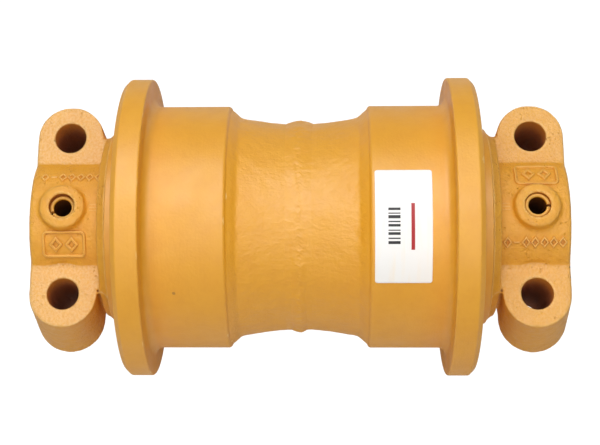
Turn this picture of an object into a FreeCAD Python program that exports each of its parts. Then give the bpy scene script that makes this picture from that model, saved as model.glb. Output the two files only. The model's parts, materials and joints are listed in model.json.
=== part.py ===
import FreeCAD, Part
import math
import os

# Track roller (bottom roller) of a 20-tonne class crawler excavator. Millimetres.
# The roller spins about the Y axis, the origin is at the middle of the axle,
# and +Z points to the four bolt faces, which seat against the track frame.

# Overall
overall_length = 334.0
tread_r = 77.4

# Running surface, stations counted inward from the end of the hub
collar_length = 50.2
hub_length = 7.2
flange_width = 16.6
tread_width = 48.0
flange_height = 17.6
flange_chamfer = 3.2
flange_inner_round = 1.2
tread_root_r = 5.5
tread_shoulder_r = 2.2

# Forged waist between the treads
waist_drop = 11.5
waist_end_rise = 4.2
waist_middle_rise = 1.3
waist_middle_share = 0.439
waist_end_inset = 7.7
shoulder_foot_inset = 4.7
shoulder_foot_drop = 4.2

# Weld that joins the two halves
groove_depth = 7.9
groove_root_half = 1.5
groove_half = 7.0
bead_crown = 2.0

# Hub ends of the shell
hub_wall = 5.7
hub_chamfer = 1.0
hub_gap = 0.8
skirt_clearance = 1.0

# Axle, bushings and oil space
shaft_r = 30.0
shaft_recess = 1.5
shaft_chamfer = 2.0
bushing_clearance = 0.06
bushing_wall = 5.0
bushing_flange_width = 12.0
bushing_flange_t = 5.0
bushing_seat_play = 0.15
chamber_room = 13.0
chamber_half = 18.0
chamber_slope = 6.0
chamber_shelf = 1.5
thrust_play = 0.3

# Floating seals, each radius counted outward from the collar nose
nose_wall = 8.0
seal_nose_gap = 2.2
seal_tail_wall = 4.0
seal_cone_rise = 2.4
seal_land_rise = 2.0
seal_seat_gap = 2.4
seal_ring_width = 8.5
seal_land = 2.6
seal_film = 0.06
seal_seat_room = 1.0
seal_inset = 5.1
toric_squeeze_gap = 0.02

# Collars
skirt_wall = 4.5
collar_skirt = 4.5
collar_ring_step = 2.0
collar_cone_rise = 3.5
collar_ring_width = 5.4
collar_wall = 14.0
collar_bore_clearance = 0.03
collar_edge_chamfer = 1.5
lug_face_z = 28.5
lug_drop = 1.0
lug_r = 21.0
lug_root = 15.0
lug_neck_inset = 7.0
lug_lean = 6.4
lug_flare = 1.4
spot_face_inset = 0.8
bolt_span_x = 102.0
bolt_hole_r = 10.0

# Lock pins
pin_r = 8.0
pin_wall = 2.4
pin_slot = 2.2
pin_mouth_chamfer = 1.2
pin_hole_clearance = 0.02
pin_hole_chamfer = 0.8
pin_boss_wall = 6.2
pin_boss_rise = 4.5
pin_boss_fillet = 1.6
pin_depth_left = 4.0
pin_depth_right = 1.5
pin_turn_left = 300.0
pin_turn_right = 90.0

# Static seal between collar and axle
o_ring_section_r = 1.5
o_ring_groove_half = 2.2
o_ring_inset = 6.0

# Oil filling
gallery_r = 4.0
gallery_shift = 2.0
feed_r = 3.0
plug_share = 0.3
plug_shoulder = 2.0
plug_thread_length = 12.0
plug_head_t = 3.5
plug_hex = 6.0
plug_hex_depth = 5.0
plug_pocket_clearance = 0.5
washer_t = 1.5

# Label wrapped on one tread
label_t = 0.25
label_inset = 0.8
label_width = 34.0
label_start_deg = -9.7
label_end_deg = 41.7
label_corner_r = 1.5

# Stations that follow from the values above
overall_half = overall_length / 2.0
hub_end = overall_half - collar_length
flange_face = hub_end - hub_length
flange_inner_face = flange_face - flange_width
tread_inner_edge = flange_inner_face - tread_width
waist_end = tread_inner_edge - waist_end_inset
shoulder_foot = tread_inner_edge - shoulder_foot_inset
waist_middle = groove_half + waist_middle_share * (waist_end - groove_half)
ring_start = hub_end + hub_gap
skirt_end = ring_start - collar_skirt
mouth_floor = skirt_end - skirt_clearance
seal_plane = skirt_end - seal_inset
rotating_floor = seal_plane - seal_ring_width - seal_seat_room
fixed_floor = seal_plane + seal_ring_width + seal_seat_room
bushing_floor = rotating_floor - bushing_flange_t
bushing_start = chamber_half + chamber_slope + chamber_shelf
nose_end = rotating_floor + thrust_play
collar_ring_end = ring_start + collar_ring_width
o_ring_station = collar_ring_end + o_ring_inset
bolt_x = bolt_span_x / 2.0
bolt_y = overall_half - lug_r
shaft_half = overall_half - shaft_recess
label_start_y = tread_inner_edge + label_inset

# Radii and heights that follow from the values above
flange_r = tread_r + flange_height
waist_r = tread_r - waist_drop
waist_end_r = waist_r + waist_end_rise
waist_middle_r = waist_r + waist_middle_rise
shoulder_foot_r = tread_r - shoulder_foot_drop
groove_bottom_r = waist_r - groove_depth
shell_bore_r = shaft_r + bushing_clearance + bushing_wall
bushing_flange_r = shaft_r + bushing_flange_width
chamber_r = shaft_r + chamber_room
collar_nose_r = shaft_r + nose_wall
seal_bore_r = collar_nose_r + seal_nose_gap
seal_tail_r = seal_bore_r + seal_tail_wall
seal_cone_r = seal_tail_r + seal_cone_rise
seal_land_r = seal_cone_r + seal_land_rise
seal_seat_r = seal_land_r + seal_seat_gap
skirt_r = seal_seat_r + skirt_wall
mouth_r = skirt_r + skirt_clearance
hub_r = mouth_r + hub_wall
collar_ring_r = skirt_r + collar_ring_step
collar_cone_r = collar_ring_r + collar_cone_rise
collar_r = shaft_r + collar_wall
lug_bottom_z = -collar_r - lug_drop
lug_inner_x = collar_r - lug_root
spot_face_r = lug_r - spot_face_inset
pin_hole_r = pin_r + pin_hole_clearance
pin_boss_r = pin_r + pin_boss_wall
pin_boss_top = collar_r + pin_boss_rise
pin_length = 2.0 * collar_r
gallery_offset = (pin_r + shaft_r) / 2.0 - gallery_shift
plug_head_r = plug_share * shaft_r
plug_thread_r = plug_head_r - plug_shoulder
spin_axis = FreeCAD.Vector(0, 1, 0)
origin = FreeCAD.Vector(0, 0, 0)


def point(r, a):
    """A point of a turned profile: radius r from the spin axis, station a along it."""
    return FreeCAD.Vector(r, a, 0)


def line(p, q):
    return Part.makeLine(p, q)


def arc(p, middle, q):
    return Part.Arc(p, middle, q).toShape()


def turned(edges):
    """Solid of revolution about the spin axis from closed profile edges."""
    face = Part.Face(Part.Wire(edges))
    return face.revolve(origin, spin_axis, 360)


def turned_polygon(pairs):
    points = [point(r, a) for r, a in pairs]
    edges = [line(points[i - 1], points[i]) for i in range(len(points))]
    return turned(edges)


def tube(outer_r, inner_r, start, end):
    return turned_polygon([(inner_r, start), (outer_r, start), (outer_r, end), (inner_r, end)])


def mirrored(shape):
    """The same shape on the other end of the axle."""
    return shape.mirror(origin, spin_axis)


def rod_z(r, x, y, low, high):
    return Part.makeCylinder(r, high - low, FreeCAD.Vector(x, y, low), FreeCAD.Vector(0, 0, 1))


def rod_y(r, x, z, low, high):
    return Part.makeCylinder(r, high - low, FreeCAD.Vector(x, low, z), spin_axis)


def cone_z(r_low, r_high, x, y, low, high):
    base = FreeCAD.Vector(x, y, low)
    return Part.makeCone(r_low, r_high, high - low, base, FreeCAD.Vector(0, 0, 1))


def smooth_edge(points):
    """One curve through the given profile points."""
    curve = Part.BSplineCurve()
    curve.interpolate(points)
    return curve.toShape()


def roller_shell():
    """Right half of the forged and bored shell, from the weld to the hub end."""
    waist_start = point(waist_r, groove_half)
    waist_stop = point(waist_end_r, waist_end)
    foot = point(shoulder_foot_r, shoulder_foot)
    tread_start = point(tread_r, tread_inner_edge)
    half_turn = math.sqrt(0.5)
    root_centre = (tread_r + tread_root_r, flange_inner_face - tread_root_r)
    root_middle = point(root_centre[0] - tread_root_r * half_turn,
                        root_centre[1] + tread_root_r * half_turn)
    rim_centre = (flange_r - flange_inner_round, flange_inner_face + flange_inner_round)
    rim_middle = point(rim_centre[0] + flange_inner_round * half_turn,
                       rim_centre[1] - flange_inner_round * half_turn)
    shoulder_low = point(tread_r - tread_shoulder_r, tread_inner_edge - tread_shoulder_r * 0.9)
    shoulder_centre_r = tread_r - tread_shoulder_r
    shoulder_middle = point(shoulder_centre_r + tread_shoulder_r * 0.75,
                            tread_inner_edge - tread_shoulder_r * 0.62)
    hub_corner = point(hub_r, hub_end - hub_chamfer)
    hub_face = point(hub_r - hub_chamfer, hub_end)
    seat_step_r = bushing_flange_r + bushing_seat_play
    chamber_end = chamber_half + chamber_slope
    waist_points = [waist_start, point(waist_middle_r, waist_middle), waist_stop]
    outer = [
        line(point(chamber_r, 0), point(groove_bottom_r, 0)),
        line(point(groove_bottom_r, 0), point(groove_bottom_r, groove_root_half)),
        line(point(groove_bottom_r, groove_root_half), waist_start),
        smooth_edge(waist_points),
        line(waist_stop, foot),
        line(foot, shoulder_low),
        arc(shoulder_low, shoulder_middle, tread_start),
        line(tread_start, point(tread_r, root_centre[1])),
        arc(point(tread_r, root_centre[1]), root_middle, point(root_centre[0], flange_inner_face)),
        line(point(root_centre[0], flange_inner_face), point(rim_centre[0], flange_inner_face)),
        arc(point(rim_centre[0], flange_inner_face), rim_middle, point(flange_r, rim_centre[1])),
        line(point(flange_r, rim_centre[1]), point(flange_r, flange_face - flange_chamfer)),
        line(point(flange_r, flange_face - flange_chamfer),
             point(flange_r - flange_chamfer, flange_face)),
        line(point(flange_r - flange_chamfer, flange_face), point(hub_r, flange_face)),
        line(point(hub_r, flange_face), hub_corner),
        line(hub_corner, hub_face),
        line(hub_face, point(mouth_r, hub_end)),
        line(point(mouth_r, hub_end), point(mouth_r, mouth_floor)),
        line(point(mouth_r, mouth_floor), point(seal_seat_r, mouth_floor)),
        line(point(seal_seat_r, mouth_floor), point(seal_seat_r, rotating_floor)),
        line(point(seal_seat_r, rotating_floor), point(seat_step_r, rotating_floor)),
        line(point(seat_step_r, rotating_floor), point(seat_step_r, bushing_floor)),
        line(point(seat_step_r, bushing_floor), point(shell_bore_r, bushing_floor)),
        line(point(shell_bore_r, bushing_floor), point(shell_bore_r, chamber_end)),
        line(point(shell_bore_r, chamber_end), point(chamber_r, chamber_half)),
        line(point(chamber_r, chamber_half), point(chamber_r, 0)),
    ]
    return turned(outer)


def weld_bead():
    """Bead that fills the groove between the halves and stands proud of the waist."""
    crown = point(waist_r + bead_crown, 0)
    groove_right = point(waist_r, groove_half)
    groove_left = point(waist_r, -groove_half)
    root_right = point(groove_bottom_r, groove_root_half)
    root_left = point(groove_bottom_r, -groove_root_half)
    return turned([
        line(root_left, root_right),
        line(root_right, groove_right),
        arc(groove_right, crown, groove_left),
        line(groove_left, root_left),
    ])


def bushing():
    """Flanged plain bearing pressed into the shell; its flange carries the end thrust."""
    inner = shaft_r + bushing_clearance
    return turned_polygon([
        (inner, bushing_start), (shell_bore_r, bushing_start), (shell_bore_r, bushing_floor),
        (bushing_flange_r, bushing_floor), (bushing_flange_r, rotating_floor),
        (inner, rotating_floor)])


def axle_shaft():
    shaft = turned_polygon([
        (0, -shaft_half), (shaft_r - shaft_chamfer, -shaft_half),
        (shaft_r, -shaft_half + shaft_chamfer), (shaft_r, shaft_half - shaft_chamfer),
        (shaft_r - shaft_chamfer, shaft_half), (0, shaft_half)])
    cuts = []
    for side in (-1, 1):
        cuts.append(rod_z(pin_hole_r, 0, side * bolt_y, -shaft_r - 1, shaft_r + 1))
    pocket_r = plug_head_r + plug_pocket_clearance
    pocket_floor = shaft_half - plug_head_t - washer_t
    thread_end = pocket_floor - plug_thread_length
    cuts.append(rod_y(pocket_r, gallery_offset, 0, pocket_floor, shaft_half + 1))
    cuts.append(rod_y(plug_thread_r, gallery_offset, 0, thread_end, pocket_floor + 1))
    cuts.append(rod_y(gallery_r, gallery_offset, 0, 0, thread_end + 1))
    feed_base = FreeCAD.Vector(gallery_offset, gallery_r, 0)
    cuts.append(Part.makeCylinder(feed_r, shaft_r, feed_base, FreeCAD.Vector(1, 0, 0)))
    for cut in cuts:
        shaft = shaft.cut(cut)
    return shaft


def lug_outline(side, z, radius, lean):
    """Plan of one bolt lug at height z: a round end, flush outside and tangent to the neck."""
    neck_x = bolt_x - lug_neck_inset
    neck_y = collar_ring_end + lean
    centre_y = bolt_y + lean
    run = centre_y - neck_y
    spread = math.acos(radius / math.hypot(run, lug_neck_inset))
    angle = math.atan2(lug_neck_inset, run) - spread + math.pi

    def corner(x, y):
        return FreeCAD.Vector(side * x, y, z)

    inner_low = corner(lug_inner_x, neck_y)
    neck = corner(neck_x, neck_y)
    tangent = corner(bolt_x - radius * math.sin(angle), centre_y + radius * math.cos(angle))
    outermost = corner(bolt_x + radius, centre_y)
    flush = corner(bolt_x, centre_y + radius)
    inner_high = corner(lug_inner_x, centre_y + radius)
    return Part.Wire([
        line(inner_low, neck), line(neck, tangent), arc(tangent, outermost, flush),
        line(flush, inner_high), line(inner_high, inner_low)])


def bolt_lug(side):
    """One bolt lug; on the +X side its foot stands further out than its bolt face, as cast."""
    lean = lug_lean if side > 0 else 0.0
    flare = lug_flare if side > 0 else 0.0
    foot = lug_outline(side, lug_bottom_z, lug_r + flare, lean)
    head = lug_outline(side, lug_face_z, lug_r, 0.0)
    return Part.makeLoft([foot, head], True, True)


def collar(side):
    """Cast collar that clamps the axle end and carries the bolt lugs."""
    body = turned_polygon([
        (0, fixed_floor), (collar_r, fixed_floor),
        (collar_r, overall_half - collar_edge_chamfer),
        (collar_r - collar_edge_chamfer, overall_half), (0, overall_half)])
    ring = turned_polygon([
        (0, nose_end), (collar_nose_r, nose_end), (collar_nose_r, fixed_floor),
        (seal_seat_r, fixed_floor), (seal_seat_r, skirt_end),
        (skirt_r, skirt_end), (skirt_r, ring_start),
        (collar_cone_r, ring_start), (collar_ring_r, ring_start + collar_cone_rise),
        (collar_ring_r, collar_ring_end), (0, collar_ring_end)])
    boss = rod_z(pin_boss_r, 0, bolt_y, 0, pin_boss_top)
    body = body.fuse([bolt_lug(-1), bolt_lug(1), boss, ring]).removeSplitter()
    body = body.makeFillet(pin_boss_fillet, boss_foot_edges(body))
    for x_side in (-1, 1):
        body = body.cut(rod_z(bolt_hole_r, x_side * bolt_x, bolt_y, lug_bottom_z - 1,
                              lug_face_z + 1))
    body = body.cut(rod_z(spot_face_r, bolt_x, bolt_y, lug_face_z, collar_r))
    body = body.cut(rod_y(shaft_r + collar_bore_clearance, 0, 0, nose_end - 1,
                          overall_half + 1))
    body = body.cut(rod_z(pin_hole_r, 0, bolt_y, lug_bottom_z - 1, pin_boss_top + 1))
    mouth_low = pin_boss_top - pin_hole_chamfer
    body = body.cut(cone_z(pin_hole_r, pin_hole_r + pin_hole_chamfer, 0, bolt_y, mouth_low,
                           pin_boss_top))
    groove_r = shaft_r + 2 * o_ring_section_r
    body = body.cut(tube(groove_r, shaft_r - 1, o_ring_station - o_ring_groove_half,
                         o_ring_station + o_ring_groove_half))
    return body if side > 0 else mirrored(body)


def boss_foot_edges(body):
    """Edges where the pin boss meets the round top of the hub."""
    found = []
    for edge in body.Edges:
        box = edge.BoundBox
        near_axis = max(abs(box.XMin), abs(box.XMax)) < pin_boss_r + 0.5
        low = box.ZMin > lug_face_z and box.ZMax < pin_boss_top - 1.0
        inside = box.YMin > bolt_y - pin_boss_r - 0.5 and box.YMax < bolt_y + pin_boss_r + 0.5
        if near_axis and low and inside:
            found.append(edge)
    return found


def lock_pin(side, depth, turn):
    """Slotted spring pin through the boss, the axle and the lower wall of the collar."""
    top = pin_boss_top - depth
    bottom = top - pin_length
    outer = rod_z(pin_r, 0, side * bolt_y, bottom + pin_mouth_chamfer, top - pin_mouth_chamfer)
    tip = pin_r - pin_mouth_chamfer
    low_cone = cone_z(tip, pin_r, 0, side * bolt_y, bottom, bottom + pin_mouth_chamfer)
    high_cone = cone_z(pin_r, tip, 0, side * bolt_y, top - pin_mouth_chamfer, top)
    body = outer.fuse([low_cone, high_cone])
    body = body.cut(rod_z(pin_r - pin_wall, 0, side * bolt_y, bottom - 1, top + 1))
    slot = Part.makeBox(pin_r + 1, pin_slot, pin_length + 2,
                        FreeCAD.Vector(0, -pin_slot / 2.0, bottom - 1))
    slot.rotate(origin, FreeCAD.Vector(0, 0, 1), turn)
    slot.translate(FreeCAD.Vector(0, side * bolt_y, 0))
    return body.cut(slot).removeSplitter()


def seal_ring(facing):
    """Hard metal ring of a floating seal; facing is -1 for the ring that turns."""
    face = seal_plane + facing * seal_film / 2.0
    land_end = face + facing * seal_land
    tail = face + facing * seal_ring_width
    pairs = [(seal_bore_r, face), (seal_land_r, face), (seal_land_r, land_end),
             (seal_cone_r, land_end), (seal_tail_r, tail), (seal_bore_r, tail)]
    return turned_polygon(pairs)


def seal_toric(facing):
    """Rubber ring wedged between the cone of a seal ring and its seat."""
    face = seal_plane + facing * seal_film / 2.0
    cone_length = seal_ring_width - seal_land
    drop = seal_cone_r - seal_tail_r
    cosine = cone_length / math.hypot(cone_length, drop)
    middle = face + facing * (seal_land + cone_length / 2.0)
    middle_r = (seal_cone_r + seal_tail_r) / 2.0
    room = seal_seat_r - middle_r
    section_r = room * cosine / (1.0 + cosine) - toric_squeeze_gap
    centre_r = seal_seat_r - toric_squeeze_gap - section_r
    return Part.makeTorus(centre_r, section_r, FreeCAD.Vector(0, middle, 0), spin_axis)


def shaft_o_ring():
    """Static rubber ring in the bore groove of a collar."""
    centre_r = shaft_r + o_ring_section_r
    return Part.makeTorus(centre_r, o_ring_section_r - toric_squeeze_gap,
                          FreeCAD.Vector(0, o_ring_station, 0), spin_axis)


def oil_plug():
    """Socket-head plug that closes the oil gallery in the right end of the axle."""
    washer_floor = shaft_half - plug_head_t - washer_t
    head_floor = washer_floor + washer_t
    head = rod_y(plug_head_r, gallery_offset, 0, head_floor, shaft_half)
    shank = rod_y(plug_thread_r, gallery_offset, 0, washer_floor - plug_thread_length,
                  head_floor)
    body = head.fuse(shank).removeSplitter()
    corners = []
    hex_r = plug_hex / math.sqrt(3.0)
    for i in range(6):
        angle = math.radians(60 * i)
        corners.append(FreeCAD.Vector(gallery_offset + hex_r * math.cos(angle),
                                      shaft_half + 1, hex_r * math.sin(angle)))
    socket = Part.Face(Part.makePolygon(corners + corners[:1]))
    return body.cut(socket.extrude(FreeCAD.Vector(0, -plug_hex_depth - 1, 0)))


def oil_plug_washer():
    floor = shaft_half - plug_head_t - washer_t
    disc = rod_y(plug_head_r, gallery_offset, 0, floor, floor + washer_t)
    return disc.cut(rod_y(plug_thread_r, gallery_offset, 0, floor - 1, floor + washer_t + 1))


def tread_label():
    """Thin label bent round the right tread, with rounded corners."""
    band = tube(tread_r + label_t, tread_r, label_start_y, label_start_y + label_width)
    arc_deg = label_end_deg - label_start_deg
    middle_deg = (label_end_deg + label_start_deg) / 2.0
    chord = 2.0 * tread_r * math.sin(math.radians(arc_deg / 2.0))
    blank = Part.makeBox(chord, label_width, 2 * tread_r,
                         FreeCAD.Vector(-chord / 2.0, label_start_y, 0))
    upright = [e for e in blank.Edges if e.BoundBox.ZLength > tread_r]
    blank = blank.makeFillet(label_corner_r, upright)
    blank.rotate(origin, spin_axis, middle_deg)
    return band.common(blank)


def check_and_save(name, shape):
    solids = shape.Solids
    assert len(solids) == 1, name + " has " + str(len(solids)) + " solids"
    solid = solids[0]
    assert solid.isValid(), name + " is not valid"
    solid.exportStep("parts/" + name + ".step")
    box = solid.BoundBox
    print("%-28s %10.0f mm3  x %7.1f %7.1f  y %7.1f %7.1f  z %7.1f %7.1f" % (
        name, solid.Volume, box.XMin, box.XMax, box.YMin, box.YMax, box.ZMin, box.ZMax))


def main():
    os.makedirs("parts", exist_ok=True)
    paired = {
        "roller_shell": roller_shell(),
        "bushing": bushing(),
        "seal_ring_rotating": seal_ring(-1),
        "seal_toric_rotating": seal_toric(-1),
        "seal_ring_fixed": seal_ring(1),
        "seal_toric_fixed": seal_toric(1),
        "shaft_o_ring": shaft_o_ring(),
    }
    for name, shape in paired.items():
        check_and_save(name + "_right", shape)
        check_and_save(name + "_left", mirrored(shape))
    check_and_save("collar_right", collar(1))
    check_and_save("collar_left", collar(-1))
    check_and_save("lock_pin_right", lock_pin(1, pin_depth_right, pin_turn_right))
    check_and_save("lock_pin_left", lock_pin(-1, pin_depth_left, pin_turn_left))
    check_and_save("weld_bead", weld_bead())
    check_and_save("axle_shaft", axle_shaft())
    check_and_save("oil_plug", oil_plug())
    check_and_save("oil_plug_washer", oil_plug_washer())
    check_and_save("tread_label", tread_label())


main()
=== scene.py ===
"""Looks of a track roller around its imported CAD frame, in metres; MM is one millimetre."""

import json
import math

import bmesh
import bpy
import numpy as np
from mathutils import Matrix, Vector, noise


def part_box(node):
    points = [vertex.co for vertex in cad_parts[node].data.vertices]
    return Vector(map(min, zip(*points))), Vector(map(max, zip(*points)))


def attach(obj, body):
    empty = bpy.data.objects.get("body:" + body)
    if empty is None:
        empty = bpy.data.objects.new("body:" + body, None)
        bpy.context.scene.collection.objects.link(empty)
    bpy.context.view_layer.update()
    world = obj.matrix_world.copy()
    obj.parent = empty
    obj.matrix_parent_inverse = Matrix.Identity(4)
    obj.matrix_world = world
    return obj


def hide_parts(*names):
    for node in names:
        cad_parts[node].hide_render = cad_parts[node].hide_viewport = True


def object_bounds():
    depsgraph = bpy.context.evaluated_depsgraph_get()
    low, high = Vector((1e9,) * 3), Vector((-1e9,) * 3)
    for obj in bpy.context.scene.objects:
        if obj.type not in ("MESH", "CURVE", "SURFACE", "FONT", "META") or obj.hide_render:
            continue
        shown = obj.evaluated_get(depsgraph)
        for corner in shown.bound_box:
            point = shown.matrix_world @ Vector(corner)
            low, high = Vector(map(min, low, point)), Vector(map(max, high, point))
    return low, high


MM = 0.001

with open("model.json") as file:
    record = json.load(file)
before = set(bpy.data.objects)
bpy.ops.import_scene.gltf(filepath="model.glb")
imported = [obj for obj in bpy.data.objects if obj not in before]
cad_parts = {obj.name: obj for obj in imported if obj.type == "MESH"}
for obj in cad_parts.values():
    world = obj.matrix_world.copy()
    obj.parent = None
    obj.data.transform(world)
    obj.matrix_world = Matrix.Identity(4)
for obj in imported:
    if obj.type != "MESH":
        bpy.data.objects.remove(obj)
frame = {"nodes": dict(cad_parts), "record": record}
cad_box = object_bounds()
nodes = frame["nodes"]

# Sizes read from the frame
bolts = next(m for m in frame["record"]["mounts"] if m["name"] == "frame_bolts")
BOLT_X = bolts["dims"]["spacing_x_mm"] * MM / 2
BOLT_Y = bolts["dims"]["spacing_y_mm"] * MM / 2
BOLT_R = bolts["dims"]["hole_r_mm"] * MM
LUG_FACE_Z = bolts["pos_m"][2]
pin_low, pin_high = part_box("lock_pin_right")
PIN_R = (pin_high.x - pin_low.x) / 2
LABEL_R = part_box("tread_label")[1].z
TREAD_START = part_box("tread_label")[0].y
HUB_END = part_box("roller_shell_right")[1].y
SHAFT_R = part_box("axle_shaft")[1].x

# Sizes of the CAD model that the frame's boxes don't show
HUB_CHAMFER = 1.0 * MM
COLLAR_R = 44.0 * MM
BOSS_TOP = COLLAR_R + 4.5 * MM
PIN_WALL = 2.4 * MM
PIN_SLOT = 2.2 * MM

# Turned skins
TURN_STEPS = 400
OUTSIDE_STEP = 0.9 * MM
HIDDEN_STEP = 6.0 * MM
CLEAR_CORNER = math.radians(22)
CORNER_ROUND = 0.7 * MM
SHOULDER_EASING = 16
SHOULDER_END = TREAD_START - 0.8 * MM
SHOULDER_START = TREAD_START - 20 * MM
SHOULDER_FADE = 1.6 * MM
FORGED_END = TREAD_START - 6.5 * MM
FORGED_FADE = 4.0 * MM
FORGED_DEPTH = 0.30 * MM
HUB_REACH = 0.62 * MM
HUB_CORNER = 0.35 * MM

# Weld bead
WELD_RISE = 2.0 * MM
WELD_ROOT = 2.0 * MM
WELD_HALF = 10.5 * MM
WELD_RUN = 2.6 * MM
WELD_RIPPLE = 2.3 * MM
WELD_SINK_START = 8.2 * MM
WELD_SINK_FADE = 1.6 * MM
WELD_COLUMNS = 44
WELD_ROWS = 900

# Cast collars
WEB_X = (30 * MM, 47.5 * MM)
WEB_Y = (119 * MM, 127 * MM)
WEB_Z = (-30 * MM, LUG_FACE_Z - 0.5 * MM)
CAST_VOXEL = 0.95 * MM
CAST_SMOOTHING = 5
BOSS_SMOOTHING = 14
BOSS_RIM = (10 * MM, 16 * MM)
BORE_EASING = 2.0 * MM
CAST_DEPTH = 0.10 * MM
# Reach of the painted shade in crevices
CREVICE_SHADE_REACH = 2.6 * MM
MARK_STEP = 0.3

# Spring pins and label
PIN_STEPS = 96
PIN_MOUTH = 1.3 * MM
PIN_INNER_MOUTH = 0.9 * MM
LABEL_STEPS = (60, 110)
LABEL_CORNER = 1.6 * MM
LABEL_FILM = 0.22 * MM

# Chips in the paint, as (place, radius)
TREAD_CHIP = ((0.0566, -0.0745, 0.0528), 1.2 * MM)
LUG_CHIPS = (((0.034, 0.1665, 0.0272), 1.2 * MM), ((0.0405, 0.1665, 0.027), 1.1 * MM))

# Camera
TARGET = Vector((-0.0198, -0.01614, 0.0))
DISTANCE = 0.93277
TILT = 0.300
YAW = 0.037
ROLL = 0.008
LENS = 86.27
SHIFT = 1 / 24

# Stage
FLOOR_HALF = 6.0
FLOOR_GLOW = 1.15
FLOOR_GLOW_SHARE = 0.93
SKY_LOW = 4.6
SKY_HIGH = 3.6


def new_object(name, vertices, faces):
    mesh = bpy.data.meshes.new(name)
    mesh.from_pydata([tuple(v) for v in vertices], [], faces)
    mesh.validate()
    mesh.shade_smooth()
    obj = bpy.data.objects.new(name, mesh)
    bpy.context.scene.collection.objects.link(obj)
    return obj


def ring_faces(rings, count, closed=True):
    """Faces between rings of count points each; a closed run joins its last ring to its first."""
    faces = []
    for k in range(rings if closed else rings - 1):
        n = (k + 1) % rings
        for i in range(count):
            j = (i + 1) % count
            faces.append((k * count + i, k * count + j, n * count + j, n * count + i))
    return faces


def sheet_faces(nx, ny):
    """Faces of a closed sheet: two layers of nx by ny points, joined round the rim."""
    base = nx * ny
    faces = []
    for i in range(nx - 1):
        for j in range(ny - 1):
            q = (i * ny + j, (i + 1) * ny + j, (i + 1) * ny + j + 1, i * ny + j + 1)
            faces.append(q)
            faces.append(tuple(base + v for v in reversed(q)))
    rim = [i * ny for i in range(nx)] + [(nx - 1) * ny + j for j in range(1, ny)]
    rim += [i * ny + ny - 1 for i in range(nx - 2, -1, -1)] + list(range(ny - 2, 0, -1))
    for a, b in zip(rim, rim[1:] + rim[:1]):
        faces.append((a, b, base + b, base + a))
    return faces


def outward(obj):
    """Turns every face of a closed mesh outward."""
    bm = bmesh.new()
    bm.from_mesh(obj.data)
    bmesh.ops.recalc_face_normals(bm, faces=bm.faces)
    bm.to_mesh(obj.data)
    bm.free()
    return obj


def joined(obj, others):
    """Joins other objects into the first one."""
    with bpy.context.temp_override(active_object=obj, object=obj,
                                   selected_editable_objects=[obj] + others):
        bpy.ops.object.join()
    return obj


def finish_piece(obj, body, slot, material, *replaced):
    obj.data.materials.clear()
    obj.data.materials.append(material)
    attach(obj, body)
    if replaced:
        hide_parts(*replaced)
    return obj


# ---------------------------------------------------------------- turned skins

def section(node):
    """Closed outline of a turned CAD node, as (radius, station) pairs: its cut at z = 0, x > 0."""
    bm = bmesh.new()
    bm.from_mesh(nodes[node].data)
    bmesh.ops.remove_doubles(bm, verts=bm.verts, dist=1e-7)
    cut = bmesh.ops.bisect_plane(
        bm, geom=bm.verts[:] + bm.edges[:] + bm.faces[:], dist=1e-7,
        plane_co=(0, 0, 0), plane_no=(0, 0, 1))["geom_cut"]
    links = {}
    for edge in cut:
        if isinstance(edge, bmesh.types.BMEdge) and min(v.co.x for v in edge.verts) > 0:
            a, b = ((round(v.co.x, 7), round(v.co.y, 7)) for v in edge.verts)
            links.setdefault(a, set()).add(b)
            links.setdefault(b, set()).add(a)
    bm.free()
    start = max(links)
    chain = [start]
    here, before = start, None
    while True:
        onward = [p for p in links[here] if p != before and p != here]
        if not onward:
            break
        before, here = here, onward[0]
        if here == start:
            break
        chain.append(here)
    return chain


def without_straight_points(points):
    kept = []
    count = len(points)
    for i in range(count):
        a, b, c = (Vector(points[(i + k) % count]) for k in (-1, 0, 1))
        if (b - a).length < 1e-7:
            continue
        if (b - a).angle(c - b, 0) > math.radians(0.05):
            kept.append(b)
    return kept


def with_round_corners(points):
    """Replaces each clear corner of a closed outline by a small curve."""
    rounded = []
    count = len(points)
    for i in range(count):
        a, b, c = points[i - 1], points[i], points[(i + 1) % count]
        turn = (b - a).angle(c - b, 0)
        if turn < CLEAR_CORNER:
            rounded.append(b)
            continue
        reach = min(CORNER_ROUND, 0.45 * (b - a).length, 0.45 * (c - b).length)
        start = b + (a - b).normalized() * reach
        end = b + (c - b).normalized() * reach
        for t in (0.0, 0.25, 0.5, 0.75, 1.0):
            rounded.append(start * (1 - t) ** 2 + b * 2 * t * (1 - t) + end * t ** 2)
    return rounded


def divided(points, step_at):
    """Adds points along a closed outline so that no step is longer than step_at says there."""
    fine = []
    for i, a in enumerate(points):
        b = points[(i + 1) % len(points)]
        count = max(1, math.ceil((b - a).length / step_at((a + b) / 2)))
        fine += [a.lerp(b, k / count) for k in range(count)]
    return fine


def eased(points, ease_at, rounds):
    """Smooths a finely divided closed outline; ease_at says how freely each point moves."""
    weights = [0.5 * ease_at(p) for p in points]
    for _ in range(rounds):
        points = [p.lerp((points[i - 1] + points[(i + 1) % len(points)]) / 2, w) if w else p
                  for i, (p, w) in enumerate(zip(points, weights))]
    return points


def turned_skin(name, outline, offset):
    """Turns a closed outline about Y; offset(radius, station, angle) moves a point outward."""
    vertices = []
    for k in range(TURN_STEPS):
        angle = 2 * math.pi * k / TURN_STEPS
        for p in outline:
            r = p[0] + offset(p[0], p[1], angle)
            vertices.append((r * math.sin(angle), p[1], r * math.cos(angle)))
    return outward(new_object(name, vertices, ring_faces(TURN_STEPS, len(outline))))


def forged_relief(r, station, angle):
    """Height of the forged skin over the true waist, in metres."""
    p = Vector((r * math.sin(angle), station, r * math.cos(angle)))
    broad = noise.fractal(p * 55, 1.0, 2.0, 3)
    fine = noise.fractal(p * 230 + Vector((7, 3, 1)), 0.9, 2.0, 2)
    return FORGED_DEPTH * (broad + 0.4 * fine)


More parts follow.
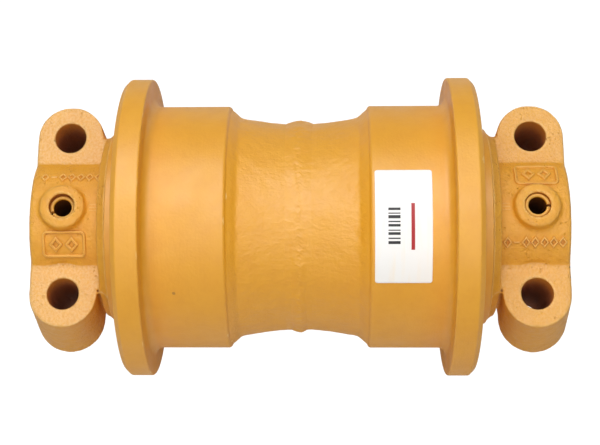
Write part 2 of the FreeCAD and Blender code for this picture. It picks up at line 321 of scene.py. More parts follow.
def shoulder_ease(p):
    """How freely an outline point moves: only on the slope that rises to the tread."""
    station = abs(p[1])
    if p[0] < 0.75 * LABEL_R or not SHOULDER_START < station <= SHOULDER_END:
        return 0.0
    return min(1.0, (SHOULDER_END - station) / SHOULDER_FADE)


def stretch_hub(outline, end):
    """Moves the rim of the hub's end out along the axis and gives it a smaller corner."""
    hub = [p for p in outline if abs(p[1]) > end - 1.1 * HUB_CHAMFER]
    hub_r = max(p[0] for p in hub)
    for p in hub:
        if p[0] < hub_r - 1.5 * HUB_CHAMFER:
            continue
        if abs(p[1]) < end - 0.5 * HUB_CHAMFER:
            p[1] = math.copysign(end - HUB_CORNER, p[1])
        else:
            p[0] = hub_r - HUB_CORNER
        p[1] += math.copysign(HUB_REACH, p[1])


def shell_skin(side, material):
    node = "roller_shell_" + side
    outline = without_straight_points(section(node))
    stretch_hub(outline, max(abs(corner.y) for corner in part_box(node)))
    outline = with_round_corners(outline)
    hidden_r = min(p[0] for p in outline) * 1.5

    def step_at(p):
        return OUTSIDE_STEP if p[0] > hidden_r else HIDDEN_STEP

    def forged(r, station, angle):
        depth = 1.0 - min(1.0, max(0.0, (abs(station) - FORGED_END) / FORGED_FADE))
        if r < hidden_r or depth == 0.0:
            return 0.0
        return depth * forged_relief(r, station, angle)

    outline = eased(divided(outline, step_at), shoulder_ease, SHOULDER_EASING)
    skin = turned_skin("shell_" + side, outline, forged)
    return finish_piece(skin, "roller", "yellow_paint", material, node)


# ---------------------------------------------------------------- weld bead

def weld_skin(material):
    """A hand-laid bead: proud of the waist in places, nearly flush in others, with a rippled run."""
    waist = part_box("weld_bead")[1].x - WELD_RISE
    vertices = []
    for k in range(WELD_ROWS):
        angle = 2 * math.pi * k / WELD_ROWS
        ring = Vector((math.sin(angle), 0, math.cos(angle)))
        drift = 0.9 * MM * noise.noise(ring * 1.7 + Vector((3, 1, 0)))
        width = (7.2 - 2.6 * ring.x - 0.6 * ring.z + 0.9 * noise.noise(ring * 2.3)) * MM
        crown = (0.35 + 2.3 * max(0.0, -ring.x) ** 3 + 1.3 * max(0.0, ring.x) ** 4
                 + 0.8 * max(0.0, -ring.z)) * MM
        for i in range(WELD_COLUMNS):
            station = -WELD_HALF + 2 * WELD_HALF * i / (WELD_COLUMNS - 1)
            t = (station - drift) / width
            hump = max(0.0, 1 - t * t) ** 1.25
            run = math.exp(-((station - drift) / WELD_RUN) ** 2)
            lag = abs(station - drift) * 0.9
            ripple = math.sin((angle * waist - lag) / WELD_RIPPLE * 2 * math.pi)
            worm = noise.noise(Vector((ring.x * 22, station * 420, ring.z * 22)))
            beyond = min(1.0, max(0.0, (abs(station) - WELD_SINK_START) / WELD_SINK_FADE))
            r = waist + forged_relief(waist, station, angle) + crown * hump
            r += run * (0.07 * ripple + 0.38 * worm) * MM + (0.09 - 0.45 * beyond) * MM
            r += 0.4 * station ** 2
            vertices.append((r * ring.x, station, r * ring.z))
        r = waist - WELD_ROOT
        for edge in (WELD_HALF, -WELD_HALF):
            vertices.append((r * ring.x, edge * 0.9, r * ring.z))
    faces = ring_faces(WELD_ROWS, WELD_COLUMNS + 2)
    skin = outward(new_object("weld_seam", vertices, faces))
    return finish_piece(skin, "roller", "painted_weld", material, "weld_bead")


# ---------------------------------------------------------------- cast collars

def relaxed(points, edges, weight, rounds):
    """Laplacian smoothing of a point array; weight says how freely each point moves."""
    a, b = edges[:, 0], edges[:, 1]
    count = len(points)
    neighbours = np.bincount(a, minlength=count) + np.bincount(b, minlength=count)
    for _ in range(rounds):
        total = np.zeros_like(points)
        for axis in range(3):
            total[:, axis] = (np.bincount(a, points[b, axis], count)
                              + np.bincount(b, points[a, axis], count))
        points += weight[:, None] * (total / neighbours[:, None] - points)
    return points


def box_distance(x, y, half_x, half_y, radius):
    """Signed distance to a rectangle with round corners, in the plane."""
    dx = np.abs(x) - half_x + radius
    dy = np.abs(y) - half_y + radius
    outside = np.hypot(np.maximum(dx, 0), np.maximum(dy, 0))
    return outside + np.minimum(np.maximum(dx, dy), 0) - radius


def framed_mark(x, y):
    """A rounded frame round two lozenges."""
    frame_line = np.abs(box_distance(x, y, 12.6, 7.6, 2.4)) - 0.85
    side_by_side = np.abs(np.abs(x) - 4.9) + np.abs(y) * 0.85
    lozenges = np.abs(side_by_side - 3.1) * 0.75 - 0.85
    return np.minimum(frame_line, lozenges)


def tally_mark(x, y):
    """A row of open lozenges with a dash among them."""
    distance = box_distance(x + 11.2, y, 1.9, 0.5, 0.4)
    for centre in (-16.8, -5.6, 0.0, 5.6, 11.2, 16.8):
        outline = np.abs(np.abs(x - centre) * 1.35 + np.abs(y) - 2.8) * 0.7 - 0.65
        distance = np.minimum(distance, outline)
    return distance


def small_mark(x, y):
    """Three short strokes beside the pin boss."""
    distance = np.full_like(x, 9.0)
    for centre in (-1.9, 0.0, 1.9):
        distance = np.minimum(distance, box_distance(x, y - centre, 2.4, 0.35, 0.3))
    return distance


def raised_mark(shape, size, station, across, height):
    """Closed block bent over the collar, in mm; its top stands out only inside the shape."""
    nx, ny = (int(s / MARK_STEP) + 1 for s in size)
    xs = np.linspace(-size[0] / 2, size[0] / 2, nx)
    ys = np.linspace(-size[1] / 2, size[1] / 2, ny)
    gx, gy = np.meshgrid(xs, ys, indexing="ij")
    edge = np.clip(0.5 - shape(gx, gy) / 0.7, 0, 1)
    lift = (edge * edge * (3 - 2 * edge)) * (height + 0.35) - 0.35
    vertices = []
    for level in (lift, np.full_like(lift, -1.6)):
        r = COLLAR_R + level * MM
        angle = (across * MM + gy * MM) / COLLAR_R
        layer = np.stack([r * np.sin(angle), station * MM + gx * MM, r * np.cos(angle)], -1)
        vertices += layer.reshape(-1, 3).tolist()
    return outward(new_object("mark", vertices, sheet_faces(nx, ny)))


def cast_marks(side):
    """The three marks of a collar, each placed by (station, place across, height) in mm."""
    framed, tally, small = {
        "left": ((-145.0, 22.9, 1.35), (-142.0, -22.0, 1.0), (-127.2, 0.0, 0.35)),
        "right": ((147.0, -23.3, 1.35), (144.5, 22.0, 1.25), (127.2, 0.0, 0.35))}[side]
    return [raised_mark(framed_mark, (28.6, 18.6), *framed),
            raised_mark(tally_mark, (39.4, 8.4), *tally),
            raised_mark(small_mark, (6.4, 6.4), *small)]


def with_round_bores(points):
    """Puts skin that lies close to a bolt or pin bore back on its cylinder."""
    y = np.copysign(BOLT_Y, points[:, 1])
    for centre_x, radius in ((-BOLT_X, BOLT_R), (BOLT_X, BOLT_R), (0.0, PIN_R)):
        dx, dy = points[:, 0] - centre_x, points[:, 1] - y
        away = np.hypot(dx, dy)
        close = np.abs(away - radius) < 0.85 * MM
        scale = np.where(close, radius / np.maximum(away, 1e-9), 1.0)
        points[:, 0] = centre_x + dx * scale
        points[:, 1] = y + dy * scale
    return points


def box_piece(low, high):
    """A plain block, wound outward, for joining into a skin."""
    corners = [(x, y, z) for x in (low[0], high[0]) for y in (low[1], high[1])
               for z in (low[2], high[2])]
    faces = [(0, 1, 3, 2), (4, 6, 7, 5), (0, 4, 5, 1), (2, 3, 7, 6), (0, 2, 6, 4), (1, 5, 7, 3)]
    return outward(new_object("web", corners, faces))


def remeshed(obj):
    """Gives an object one even skin over all its overlapping parts."""
    remesh = obj.modifiers.new("skin", "REMESH")
    remesh.mode = "VOXEL"
    remesh.voxel_size = CAST_VOXEL
    evaluated = obj.evaluated_get(bpy.context.evaluated_depsgraph_get())
    mesh = bpy.data.meshes.new_from_object(evaluated)
    obj.modifiers.clear()
    obj.data = mesh
    return mesh


def mesh_array(items, attribute, width, kind=np.float64):
    values = np.empty(len(items) * width, dtype=kind)
    items.foreach_get(attribute, values)
    return values.reshape(-1, width)


def set_points(mesh, points):
    mesh.vertices.foreach_set("co", points.ravel())
    mesh.update()


def from_bolt(points):
    """Distance of each point from the axis of the nearest bolt bore."""
    return np.hypot(np.abs(points[:, 0]) - BOLT_X, np.abs(points[:, 1]) - BOLT_Y)


def from_pin(points):
    """Distance of each point from the axis of the nearest pin."""
    return np.hypot(points[:, 0], np.abs(points[:, 1]) - BOLT_Y)


def smoothed(points, edges):
    """Rounds a casting: less at its bores and beside the hub, more round the rim of the boss."""
    pin_away = from_pin(points)
    keen = np.clip((from_bolt(points) - BOLT_R) / BORE_EASING + 0.15, 0.15, 1)
    keen *= np.clip((pin_away - PIN_R) / BORE_EASING + 0.15, 0.15, 1)
    keen *= np.where(np.abs(points[:, 1]) < HUB_END + 2.4 * MM, 0.2, 1.0)
    points = relaxed(points, edges, 0.55 * keen, CAST_SMOOTHING)
    on_rim = (pin_away > BOSS_RIM[0]) & (pin_away < BOSS_RIM[1])
    boss_rim = on_rim & (points[:, 2] > COLLAR_R + 1.3 * MM)
    points = relaxed(points, edges, 0.6 * boss_rim, BOSS_SMOOTHING)
    return with_round_bores(points)


def cast_relief(points, normals):
    """Height of the cast skin at each point; what touches another part stays still."""
    rough = np.array([
        noise.fractal(Vector(p) * 160, 1.0, 2.0, 2) + 0.6 * noise.noise(Vector(p) * 520)
        for p in points])
    machined = (np.abs(points[:, 2] - LUG_FACE_Z) < 0.6 * MM) & (normals[:, 2] > 0.9)
    still = np.hypot(points[:, 0], points[:, 2]) < SHAFT_R + 0.8 * MM
    still |= from_bolt(points) < BOLT_R + 0.3 * MM
    still |= from_pin(points) < PIN_R + 0.3 * MM
    still |= np.abs(points[:, 1]) < HUB_END + 1.4 * MM
    return rough * CAST_DEPTH * np.where(machined, 0.35, 1.0) * np.where(still, 0.0, 1.0)


def collar_skin(side, material):
    node = "collar_" + side
    obj = new_object("end_collar_" + side, [], [])
    obj.data = nodes[node].data.copy()
    obj.data.name = obj.name
    along = math.copysign(1.0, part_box(node)[0].y)
    webs = [box_piece((across * WEB_X[0], along * WEB_Y[0], WEB_Z[0]),
                      (across * WEB_X[1], along * WEB_Y[1], WEB_Z[1])) for across in (-1, 1)]
    mesh = remeshed(joined(obj, webs))
    points = mesh_array(mesh.vertices, "co", 3)
    edges = mesh_array(mesh.edges, "vertices", 2, np.int64)
    points = smoothed(points, edges)
    set_points(mesh, points)
    normals = mesh_array(mesh.vertices, "normal", 3)
    set_points(mesh, points + normals * cast_relief(points, normals)[:, None])
    mesh.shade_smooth()
    joined(obj, cast_marks(side))
    return finish_piece(obj, "axle_assembly", "painted_casting", material, node)


# ---------------------------------------------------------------- spring pins

def pin_skin(side, slot_deg, material):
    """Rolled pin: a wall swept round its axis from one lip of the slot to the other."""
    node = "lock_pin_" + side
    low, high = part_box(node)
    centre = Vector(((low.x + high.x) / 2, math.copysign(BOLT_Y, low.y), 0))
    outer = PIN_R - 0.04 * MM
    inner = outer - PIN_WALL
    outline = [
        Vector((inner, low.z + PIN_INNER_MOUTH)), Vector((inner + PIN_INNER_MOUTH, low.z)),
        Vector((outer - PIN_MOUTH, low.z)), Vector((outer, low.z + PIN_MOUTH)),
        Vector((outer, high.z - PIN_MOUTH)), Vector((outer - PIN_MOUTH, high.z)),
        Vector((inner + PIN_INNER_MOUTH, high.z)), Vector((inner, high.z - PIN_INNER_MOUTH))]
    outline = with_round_corners(outline)
    lip = math.asin(PIN_SLOT / 2 / outer)
    vertices = []
    for k in range(PIN_STEPS + 1):
        angle = math.radians(slot_deg) + lip + (2 * math.pi - 2 * lip) * k / PIN_STEPS
        for p in outline:
            vertices.append((centre.x + p[0] * math.cos(angle),
                             centre.y + p[0] * math.sin(angle), p[1]))
    count = len(outline)
    faces = ring_faces(PIN_STEPS + 1, count, closed=False)
    faces.append(tuple(range(count)))
    faces.append(tuple(PIN_STEPS * count + i for i in reversed(range(count))))
    obj = outward(new_object("spring_pin_" + side, vertices, faces))
    soften(obj, 30)
    return finish_piece(obj, "axle_assembly", "painted_pin", material, node)


def soften(obj, degrees):
    """Smooth shading that keeps edges sharper than the angle."""
    obj.data.shade_smooth()
    obj.data.set_sharp_from_angle(angle=math.radians(degrees))


# ---------------------------------------------------------------- label

def label_skin(material):
    low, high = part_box("tread_label")
    start = math.asin(low.x / LABEL_R)
    end = math.asin(high.x / LABEL_R)
    nu, nv = LABEL_STEPS
    width = high.y - low.y
    length = LABEL_R * (end - start)
    vertices, uvs = [], []
    for level in (0.0, -1.0):
        for i in range(nu + 1):
            u = i / nu
            for j in range(nv + 1):
                x, y = rounded_pad(u, j / nv, width, length)
                angle = start + (end - start) * (y / length + 0.5)
                edge = min(width / 2 - abs(x), length / 2 - abs(y))
                lift = 0.05 * MM * math.exp(-max(0.0, edge) / (1.2 * MM))
                lift *= 0.5 + noise.noise(Vector((x * 90, y * 90, 0)))
                r = LABEL_R + lift + level * LABEL_FILM
                vertices.append((r * math.sin(angle), (low.y + high.y) / 2 + x,
                                 r * math.cos(angle)))
                uvs.append((x / width + 0.5, y / length + 0.5))
    obj = outward(new_object("tread_sticker", vertices, sheet_faces(nu + 1, nv + 1)))
    layer = obj.data.uv_layers.new(name="print")
    for loop in obj.data.loops:
        layer.data[loop.index].uv = uvs[loop.vertex_index]
    return finish_piece(obj, "roller", "label_film", material, "tread_label")


def rounded_pad(u, v, width, length):
    """Maps the unit square onto a rectangle whose corners are drawn in to round ones."""
    x, y = (u - 0.5) * width, (v - 0.5) * length
    flat_x = width / 2 - LABEL_CORNER
    flat_y = length / 2 - LABEL_CORNER
    dx = abs(x) - flat_x
    dy = abs(y) - flat_y
    if dx > 0 and dy > 0:
        shrink = max(dx, dy) / math.hypot(dx, dy)
        x = math.copysign(flat_x + dx * shrink, x)
        y = math.copysign(flat_y + dy * shrink, y)
    return x, y


# ---------------------------------------------------------------- materials

class Material:
    """A node material in short form."""

    def __init__(self, name):
        self.material = bpy.data.materials.new(name)
        self.material.use_nodes = True
        self.tree = self.material.node_tree
        self.shader = self.tree.nodes["Principled BSDF"]
        self.where = self.tree.nodes.new("ShaderNodeTexCoord").outputs["Object"]

    def link(self, source, socket):
        if hasattr(source, "is_output"):
            self.tree.links.new(source, socket)
        else:
            socket.default_value = source

    def noise(self, scale, detail=3.0, rough=0.55, where=None):
        node = self.tree.nodes.new("ShaderNodeTexNoise")
        self.tree.links.new(where or self.where, node.inputs["Vector"])
        node.inputs["Scale"].default_value = scale
        node.inputs["Detail"].default_value = detail
        node.inputs["Roughness"].default_value = rough
        return node.outputs["Fac"]

    def cells(self, scale):
        node = self.tree.nodes.new("ShaderNodeTexVoronoi")
        self.tree.links.new(self.where, node.inputs["Vector"])
        node.inputs["Scale"].default_value = scale
        return node.outputs["Distance"]

    def math(self, operation, a, b=0.0, c=None):
        node = self.tree.nodes.new("ShaderNodeMath")
        node.operation = operation
        for value, socket in zip((a, b, c), node.inputs):
            if value is not None:
                self.link(value, socket)
        return node.outputs[0]

    def diagonal(self, a, b):
        squares = self.math("ADD", self.math("MULTIPLY", a, a), self.math("MULTIPLY", b, b))
        return self.math("SQRT", squares)

    def ramp(self, value, low, high, to_low=0.0, to_high=1.0):
        node = self.tree.nodes.new("ShaderNodeMapRange")
        node.interpolation_type = "SMOOTHSTEP"
        self.link(value, node.inputs["Value"])
        node.inputs["From Min"].default_value = low
        node.inputs["From Max"].default_value = high
        node.inputs["To Min"].default_value = to_low
        node.inputs["To Max"].default_value = to_high
        return node.outputs["Result"]

    def mix(self, amount, a, b):
        """Mixes two colours; a Mix node's colour inputs are 6 and 7, and its colour output is 2."""
        node = self.tree.nodes.new("ShaderNodeMix")
        node.data_type = "RGBA"
        self.link(amount, node.inputs["Factor"])
        for value, socket in ((a, node.inputs[6]), (b, node.inputs[7])):
            self.link(value, socket)
        return node.outputs[2]

    def stretched(self, x, y, z):
        node = self.tree.nodes.new("ShaderNodeMapping")
        self.tree.links.new(self.where, node.inputs["Vector"])
        node.inputs["Scale"].default_value = (x, y, z)
        return node.outputs["Vector"]

    def axes(self, where=None):
        node = self.tree.nodes.new("ShaderNodeSeparateXYZ")
        self.tree.links.new(where or self.where, node.inputs[0])
        return node.outputs

    def pointiness(self):
        return self.tree.nodes.new("ShaderNodeNewGeometry").outputs["Pointiness"]

    def crevice(self, distance):
        """1 in the open, falling towards 0 where other surfaces stand close by; drives painted shade
        in crevices.
        """
        node = self.tree.nodes.new("ShaderNodeAmbientOcclusion")
        node.samples = 8
        node.inputs["Distance"].default_value = distance
        return node.outputs["AO"]

    def near(self, point, radius):
        """1 close to a point of the object, 0 further off, with a ragged edge."""
        node = self.tree.nodes.new("ShaderNodeVectorMath")
        node.operation = "DISTANCE"
        self.tree.links.new(self.where, node.inputs[0])
        node.inputs[1].default_value = point
        ragged = self.math("MULTIPLY_ADD", self.noise(900, 2.0), radius, node.outputs["Value"])
        return self.ramp(ragged, radius * 1.2, radius * 1.35, 1.0, 0.0)

    def bump(self, height, distance, strength=1.0, under=None):
        node = self.tree.nodes.new("ShaderNodeBump")
        node.inputs["Strength"].default_value = strength
        node.inputs["Distance"].default_value = distance
        self.link(height, node.inputs["Height"])
        if under is not None:
            self.tree.links.new(under, node.inputs["Normal"])
        return node.outputs["Normal"]

    def finish(self, color, roughness, normal, metallic=0.0, **fixed):
        self.link(color, self.shader.inputs["Base Color"])
        self.link(roughness, self.shader.inputs["Roughness"])
        self.link(metallic, self.shader.inputs["Metallic"])
        if normal is not None:
            self.tree.links.new(normal, self.shader.inputs["Normal"])
        for name, value in fixed.items():
            self.shader.inputs[name.replace("_", " ")].default_value = value
        return self.material


PAINT = (0.800, 0.362, 0.010, 1)
PAINT_LIGHT = (0.840, 0.405, 0.018, 1)
PAINT_DEEP = (0.730, 0.295, 0.008, 1)
# Painted shade for creases and crevices
PAINT_HOLLOW_SHADE = (0.480, 0.150, 0.004, 1)
# Painted highlight for convex edges and for the spring pins' tops
PAINT_EDGE_HIGHLIGHT = (0.920, 0.560, 0.160, 1)
# Painted highlight for the lug faces, standing in for their gloss
PAINT_FACE_HIGHLIGHT = (0.900, 0.580, 0.270, 1)
PRIMER = (0.085, 0.035, 0.018, 1)
# Bore colours: painted shade, lighter at a bore's mouth and darker further in
BORE_SHADE = (0.380, 0.105, 0.008, 1)
BORE_MOUTH_SHADE = (0.640, 0.230, 0.008, 1)
# Darkest painted shade, inside the spring pins
BORE_DEEP_SHADE = (0.120, 0.034, 0.004, 1)
LABEL_WHITE = (0.97, 0.97, 0.96, 1)
LABEL_STAIN = (0.97, 0.84, 0.66, 1)
LABEL_BLACK = (0.012, 0.012, 0.014, 1)
LABEL_RED = (0.42, 0.008, 0.010, 1)

# Bars printed on the label, as (place along it, half width) in shares of its length
LABEL_BARS = ((-0.150, 0.011), (-0.113, 0.005), (-0.083, 0.014), (-0.042, 0.006), (-0.010, 0.011),
              (0.032, 0.005), (0.060, 0.012), (0.101, 0.006), (0.137, 0.013))


def paint_color(m, deep_amount=0.35, edges=0.5, hollow_shade=0.85):
    """Enamel with slow and fine changes of tone, with painted shade in concave creases and a painted
    highlight on edges.
    """
    slow = m.ramp(m.noise(14, 3.0), 0.35, 0.68)
    fine = m.ramp(m.noise(120, 4.0, 0.6), 0.35, 0.7)
    color = m.mix(m.math("MULTIPLY", slow, 0.45), PAINT, PAINT_LIGHT)
    color = m.mix(m.math("MULTIPLY", fine, deep_amount), color, PAINT_DEEP)
    point = m.pointiness()
    # Painted shade in concave creases, found by pointiness
    hollow_shade_mask = m.ramp(point, 0.38, 0.485, hollow_shade, 0.0)
    color = m.mix(hollow_shade_mask, color, PAINT_HOLLOW_SHADE)
    # Painted highlight on convex edges, found by pointiness
    edge = m.ramp(point, 0.506, 0.565, 0.0, edges)
    return m.mix(edge, color, PAINT_EDGE_HIGHLIGHT)


def machined_paint():
    m = Material("enamel_on_turned_steel")
    color = paint_color(m, 0.30, 0.85, 0.3)
    speck = m.near(*TREAD_CHIP)
    color = m.mix(m.math("MULTIPLY", speck, 0.45), color, PRIMER)
    station = m.math("ABSOLUTE", m.axes()[1])
    forged = m.ramp(station, TREAD_START - 7 * MM, TREAD_START - 1 * MM, 1.0, 0.0)
    turned = m.noise(1.0, 3.0, 0.6, where=m.stretched(16, 900, 16))
    peel = m.noise(620, 2.0, 0.5)
    blotch = m.noise(90, 3.0, 0.5)
    scale = m.noise(1.0, 4.0, 0.6, where=m.stretched(420, 230, 420))
    normal = m.bump(turned, 0.00008, 0.8)
    normal = m.bump(peel, 0.00020, 0.8, normal)
    normal = m.bump(blotch, 0.0004, 0.3, normal)
    normal = m.bump(m.math("MULTIPLY", scale, forged), 0.00055, 0.8, normal)
    rough = m.ramp(m.noise(45, 4.0), 0.3, 0.7, 0.40, 0.52)
    return m.finish(color, rough, normal, Specular_IOR_Level=0.95)


def weld_paint():
    m = Material("enamel_on_weld")
    color = paint_color(m, 0.3, 0.5, 0.3)
    scale = m.noise(1.0, 4.0, 0.6, where=m.stretched(420, 230, 420))
    normal = m.bump(m.noise(420, 4.0, 0.6), 0.00012, 0.6)
    normal = m.bump(scale, 0.00055, 0.8, normal)
    rough = m.ramp(m.noise(80, 4.0), 0.3, 0.7, 0.36, 0.50)
    return m.finish(color, rough, normal, Specular_IOR_Level=0.95)


def cast_paint(chips, face_highlight):
    m = Material("enamel_on_casting")
    color = paint_color(m, 0.42, 0.75)
    x, y, z = m.axes()
    # Painted shade in crevices, from ambient occlusion, kept clear of the hub
    crevice_shade = m.ramp(m.crevice(CREVICE_SHADE_REACH), 0.35, 0.92, 0.75, 0.0)
    off_hub = m.ramp(m.math("ABSOLUTE", y), HUB_END + 3 * MM, HUB_END + 6 * MM)
    color = m.mix(m.math("MULTIPLY", crevice_shade, off_hub), color, PAINT_HOLLOW_SHADE)
    # Lug faces: a patchy painted highlight
    off_face = m.math("ABSOLUTE", m.math("SUBTRACT", z, LUG_FACE_Z))
    on_face = m.ramp(off_face, 0.5 * MM, 1.0 * MM, face_highlight, 0.0)
    grainy = m.ramp(m.noise(700, 3.0, 0.6), 0.36, 0.64, 0.45, 1.35)
    color = m.mix(m.math("MULTIPLY", on_face, grainy), color, PAINT_FACE_HIGHLIGHT)
    away_x = m.math("SUBTRACT", m.math("ABSOLUTE", x), BOLT_X)
    away_y = m.math("SUBTRACT", m.math("ABSOLUTE", y), BOLT_Y)
    away = m.diagonal(away_x, away_y)
    # Bolt bores: painted shade that darkens below the mouth
    in_bore = m.ramp(away, BOLT_R + 0.25 * MM, BOLT_R + 0.6 * MM, 1.0, 0.0)
    below = m.ramp(z, LUG_FACE_Z - 3.5 * MM, LUG_FACE_Z - 0.6 * MM, 1.0, 0.25)
    bore = m.mix(m.ramp(z, LUG_FACE_Z - 22 * MM, LUG_FACE_Z - 3 * MM), BORE_SHADE, BORE_MOUTH_SHADE)
    color = m.mix(m.math("MULTIPLY", in_bore, below), color, bore)
    # Pin hole walls below the boss top: painted shade
    in_pin_hole = m.ramp(m.diagonal(x, away_y), PIN_R + 0.2 * MM, PIN_R + 0.5 * MM, 1.0, 0.0)
    under_mouth = m.ramp(z, BOSS_TOP - 2.6 * MM, BOSS_TOP - 0.9 * MM, 1.0, 0.0)
    color = m.mix(m.math("MULTIPLY", in_pin_hole, under_mouth), color, BORE_SHADE)
    for point, radius in chips:
        color = m.mix(m.near(point, radius), color, PRIMER)
    grain = m.noise(480, 5.0, 0.65)
    lumps = m.noise(150, 3.0, 0.55)
    pits = m.ramp(m.cells(360), 0.05, 0.34, -1.0, 0.0)
    pits = m.math("MULTIPLY", pits, m.ramp(m.noise(70, 2.0), 0.45, 0.62))
    normal = m.bump(lumps, 0.0011, 0.6)
    normal = m.bump(grain, 0.0008, 1.0, normal)
    normal = m.bump(pits, 0.0005, 1.0, normal)
    rough = m.ramp(m.noise(200, 4.0), 0.3, 0.7, 0.42, 0.60)
    rough = m.math("SUBTRACT", rough, m.math("MULTIPLY", on_face, 0.2))
    rough = m.math("MAXIMUM", rough, m.math("MULTIPLY", in_bore, 0.8))
    return m.finish(color, rough, normal, Specular_IOR_Level=0.90)


def pin_paint(top):
    m = Material("enamel_on_pin")
    color = paint_color(m, 0.3, 0.6)
    x, y, z = m.axes()
    away_y = m.math("SUBTRACT", m.math("ABSOLUTE", y), BOLT_Y)
    inner = PIN_R - PIN_WALL
    in_pin = m.ramp(m.diagonal(x, away_y), inner + 0.1 * MM, inner + 0.45 * MM, 1.0, 0.0)
    # Painted shade inside the pin and on its sides sunk in the boss
    deep_shade = m.ramp(z, top - 3.0 * MM, top - 1.4 * MM, 1.0, 0.0)
    below = m.math("MULTIPLY", m.ramp(z, top - 7 * MM, top - 2.5 * MM, 1.0, 0.0), 0.8)
    # Painted highlight on the pin's top
    face = m.ramp(z, top - 1.2 * MM, top - 0.4 * MM, 0.0, 0.7)
    color = m.mix(face, color, PAINT_EDGE_HIGHLIGHT)
    color = m.mix(m.math("MAXIMUM", m.math("MULTIPLY", in_pin, deep_shade), below), color, BORE_DEEP_SHADE)
    normal = m.bump(m.noise(520, 4.0, 0.6), 0.00012, 0.6)
    return m.finish(color, m.ramp(m.noise(150), 0.3, 0.7, 0.40, 0.55), normal)


def label_film():
    m = Material("label_film")
    uv = m.tree.nodes.new("ShaderNodeUVMap")
    uv.uv_map = "print"
    across, along, _ = m.axes(uv.outputs["UV"])
    stretch = m.tree.nodes.new("ShaderNodeMapping")
    m.tree.links.new(uv.outputs["UV"], stretch.inputs["Vector"])
    stretch.inputs["Scale"].default_value = (7, 1.6, 1)
    streaks = m.ramp(m.noise(1.0, 3.0, 0.5, where=stretch.outputs["Vector"]), 0.45, 0.75, 0, 0.35)
    color = m.mix(streaks, LABEL_WHITE, LABEL_STAIN)

    def band(value, centre, half, soft=0.004):
        away = m.math("ABSOLUTE", m.math("SUBTRACT", value, centre))
        return m.ramp(away, half - soft, half + soft, 1.0, 0.0)

    dark = 0.0
    for centre, half in LABEL_BARS:
        dark = m.math("MAXIMUM", dark, band(along, 0.5 + centre, half, 0.002))
    dark = m.math("MULTIPLY", dark, band(across, 0.335, 0.105))
    color = m.mix(dark, color, LABEL_BLACK)
    red = m.math("MULTIPLY", band(across, 0.66, 0.032), band(along, 0.5, 0.20, 0.002))
    color = m.mix(red, color, LABEL_RED)
    normal = m.bump(m.noise(160, 2.0), 0.0002, 0.15)
    return m.finish(color, m.ramp(m.noise(60), 0.3, 0.7, 0.30, 0.42), normal)


def metal(name, base, worn, scale, rough, stretch=(1, 1, 1), metallic=1.0, depth=0.00004):
    m = Material(name)
    tone = m.ramp(m.noise(scale, 4.0, 0.6, where=m.stretched(*stretch)), 0.3, 0.7)
    color = m.mix(tone, base, worn)
    fine = m.noise(scale * 6, 3.0, 0.6, where=m.stretched(*stretch))
    normal = m.bump(fine, depth, 0.6)
    return m.finish(color, m.ramp(fine, 0.3, 0.7, rough[0], rough[1]), normal, metallic)


def give(material, *names):
    for name in names:
        obj = nodes[name]
        for slot in obj.material_slots:
            slot.material = material


# ---------------------------------------------------------------- the object

turned = machined_paint()
# The left collar's lug faces get more painted highlight than the right's; only the right collar has
# chips
cast_left = cast_paint((), 0.42)
cast_right = cast_paint(LUG_CHIPS, 0.26)
shell_skin("left", turned)
shell_skin("right", turned)
weld_skin(weld_paint())
collar_skin("left", cast_left)
collar_skin("right", cast_right)
pin_skin("left", 300.0, pin_paint(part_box("lock_pin_left")[1].z))
pin_skin("right", 90.0, pin_paint(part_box("lock_pin_right")[1].z))
label_skin(label_film())

both = ("left", "right")
give(metal("ground_axle_steel", (0.42, 0.41, 0.39, 1), (0.58, 0.57, 0.55, 1), 40, (0.22, 0.38),
           (1, 12, 1)), "axle_shaft")
give(metal("bearing_bronze", (0.50, 0.30, 0.12, 1), (0.66, 0.44, 0.20, 1), 60, (0.25, 0.42),
           (1, 8, 1)), *("bushing_" + s for s in both))
give(metal("lapped_seal_iron", (0.20, 0.20, 0.21, 1), (0.38, 0.38, 0.39, 1), 70, (0.20, 0.45)),
     *("seal_ring_" + k + "_" + s for k in ("rotating", "fixed") for s in both))
give(metal("nitrile_rubber", (0.010, 0.010, 0.011, 1), (0.030, 0.030, 0.031, 1), 90, (0.55, 0.75),
           metallic=0.0, depth=0.0001),
     *("seal_toric_" + k + "_" + s for k in ("rotating", "fixed") for s in both),
     *("shaft_o_ring_" + s for s in both))
give(metal("blackened_plug_steel", (0.05, 0.05, 0.055, 1), (0.14, 0.13, 0.12, 1), 120,
           (0.35, 0.55)), "oil_plug")
give(metal("annealed_copper", (0.55, 0.24, 0.13, 1), (0.72, 0.38, 0.24, 1), 120, (0.3, 0.5)),
     "oil_plug_washer")

# ---------------------------------------------------------------- stage, light and camera

def add_floor():
    floor_z = cad_box[0].z
    corners = [(x * FLOOR_HALF, y * FLOOR_HALF, floor_z)
               for x, y in ((-1, -1), (1, -1), (1, 1), (-1, 1))]
    obj = new_object("floor", corners, [(0, 1, 2, 3)])
    m = Material("pale_floor")
    color = m.mix(m.ramp(m.noise(3, 3.0), 0.3, 0.7), (0.62, 0.62, 0.62, 1), (0.66, 0.66, 0.66, 1))
    m.finish(color, 0.9, m.bump(m.noise(30), 0.0002, 0.05))
    glow = m.tree.nodes.new("ShaderNodeEmission")
    glow.inputs["Strength"].default_value = FLOOR_GLOW
    path = m.tree.nodes.new("ShaderNodeLightPath")
    mixed = m.tree.nodes.new("ShaderNodeMixShader")
    share = m.math("MULTIPLY", path.outputs["Is Camera Ray"], FLOOR_GLOW_SHARE)
    m.link(share, mixed.inputs["Fac"])
    m.tree.links.new(m.shader.outputs[0], mixed.inputs[1])
    m.tree.links.new(glow.outputs[0], mixed.inputs[2])
    m.tree.links.new(mixed.outputs[0], m.tree.nodes["Material Output"].inputs["Surface"])
    obj.data.materials.append(m.material)


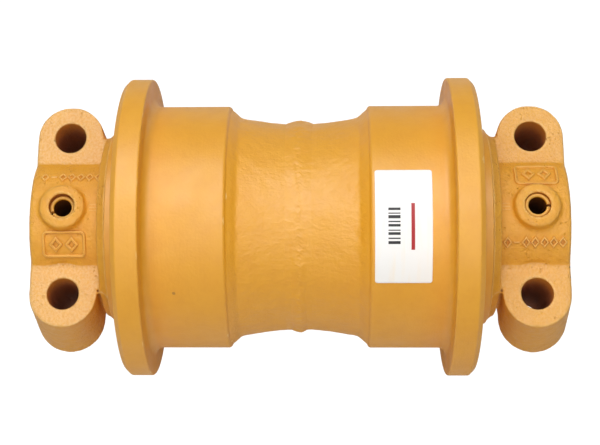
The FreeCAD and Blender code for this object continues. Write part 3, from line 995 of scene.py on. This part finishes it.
def add_light(name, place, aim, size, power, color=(1, 1, 1), seen_by="both"):
    data = bpy.data.lights.new(name, "AREA")
    data.shape = "RECTANGLE"
    data.size, data.size_y = size
    data.energy = power
    data.color = color
    obj = bpy.data.objects.new(name, data)
    obj.location = place
    obj.rotation_mode = "QUATERNION"
    obj.rotation_quaternion = (Vector(aim) - Vector(place)).to_track_quat("-Z", "Y")
    obj.visible_glossy = seen_by != "diffuse"
    obj.visible_diffuse = seen_by != "glossy"
    bpy.context.scene.collection.objects.link(obj)


def add_world():
    world = bpy.data.worlds.new("studio")
    world.use_nodes = True
    tree = world.node_tree
    background = tree.nodes["Background"]
    height = tree.nodes.new("ShaderNodeSeparateXYZ")
    tree.links.new(tree.nodes.new("ShaderNodeTexCoord").outputs["Generated"], height.inputs[0])
    dome = tree.nodes.new("ShaderNodeMapRange")
    dome.interpolation_type = "SMOOTHSTEP"
    tree.links.new(height.outputs["Z"], dome.inputs["Value"])
    dome.inputs["From Min"].default_value = 0.1
    dome.inputs["From Max"].default_value = 0.95
    dome.inputs["To Min"].default_value = SKY_LOW
    dome.inputs["To Max"].default_value = SKY_HIGH
    tree.links.new(dome.outputs["Result"], background.inputs["Strength"])
    bpy.context.scene.world = world


def add_camera():
    """Camera across the roller: image right is +Y, image up is -X tilted with the view."""
    data = bpy.data.cameras.new("camera")
    data.sensor_width = 36.0
    data.lens = LENS
    data.shift_x = SHIFT
    data.shift_y = -SHIFT
    data.clip_start, data.clip_end = 0.05, 30
    back = Vector((math.sin(TILT), math.sin(YAW) * math.cos(TILT), math.cos(YAW) * math.cos(TILT)))
    back.normalize()
    right = Vector((-1, 0, 0)).cross(back).normalized()
    up = back.cross(right)
    rolled = math.cos(ROLL) * right + math.sin(ROLL) * up
    rolled_up = -math.sin(ROLL) * right + math.cos(ROLL) * up
    basis = Matrix((rolled, rolled_up, back)).transposed().to_4x4()
    basis.translation = TARGET + back * DISTANCE
    obj = bpy.data.objects.new("camera", data)
    obj.matrix_world = basis
    bpy.context.scene.collection.objects.link(obj)
    bpy.context.scene.camera = obj


add_floor()
add_world()
# Each light: place, aim, size in metres, power in watts
add_light("key_softbox", (-0.42, -0.16, 1.17), (0, -0.05, 0), (0.85, 1.2), 6.5)
add_light("near_overhead", (0.04, 0.0, 1.30), (0, 0, 0), (1.8, 2.6), 8.5)
add_light("near_sheen", (0.02, 0.0, 1.32), (0, 0, 0), (2.6, 2.3), 13.0, seen_by="glossy")
add_light("wide_overhead", (0.10, 0.0, 1.36), (0, 0, 0), (1.9, 4.6), 13.0, seen_by="diffuse")
add_light("side_fill", (1.40, -0.1, 0.22), (0, 0, 0), (1.2, 1.0), 3.7, (1.0, 0.80, 0.50),
          seen_by="diffuse")
add_camera()
bpy.context.scene.view_settings.view_transform = "Standard"
